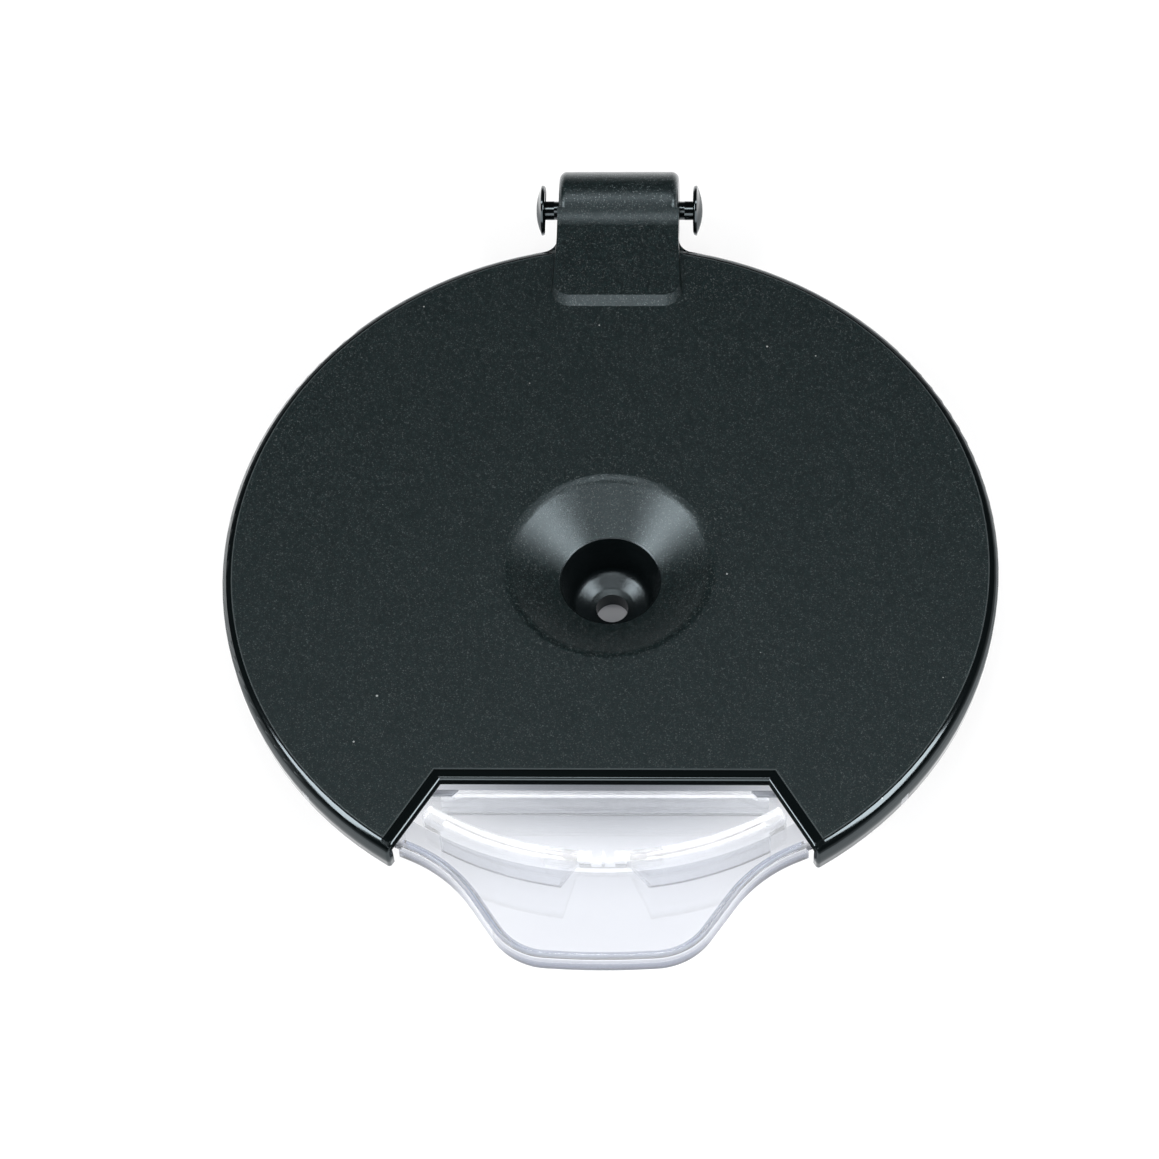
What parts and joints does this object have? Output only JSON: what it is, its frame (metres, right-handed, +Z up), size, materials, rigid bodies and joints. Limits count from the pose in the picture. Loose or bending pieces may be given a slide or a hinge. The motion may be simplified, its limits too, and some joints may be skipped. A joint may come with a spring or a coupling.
{
  "type": "coffee jug lid",
  "caption": "Round hinged lid for a glass coffee jug, with a drip funnel in its middle, a plug skirt and a clear pouring spout cover.",
  "frame": {"origin": "on the lid's axis, in the plane of the plug skirt's foot, which the lid rests on", "axes": "+Z up out of the lid's top face, -Y from the axis towards the spout, +Y towards the hinge, X along the hinge pins"},
  "size_m": [0.12, 0.1421, 0.0188],
  "materials": {
    "black_moulding": "fine spark-eroded grain on top, polished rim and notch edges",
    "clear_moulding": "polished clear plastic"
  },
  "bodies": {
    "root": {"lid": "black_moulding", "spout_cover": "clear_moulding"}
  },
  "joints": []
}
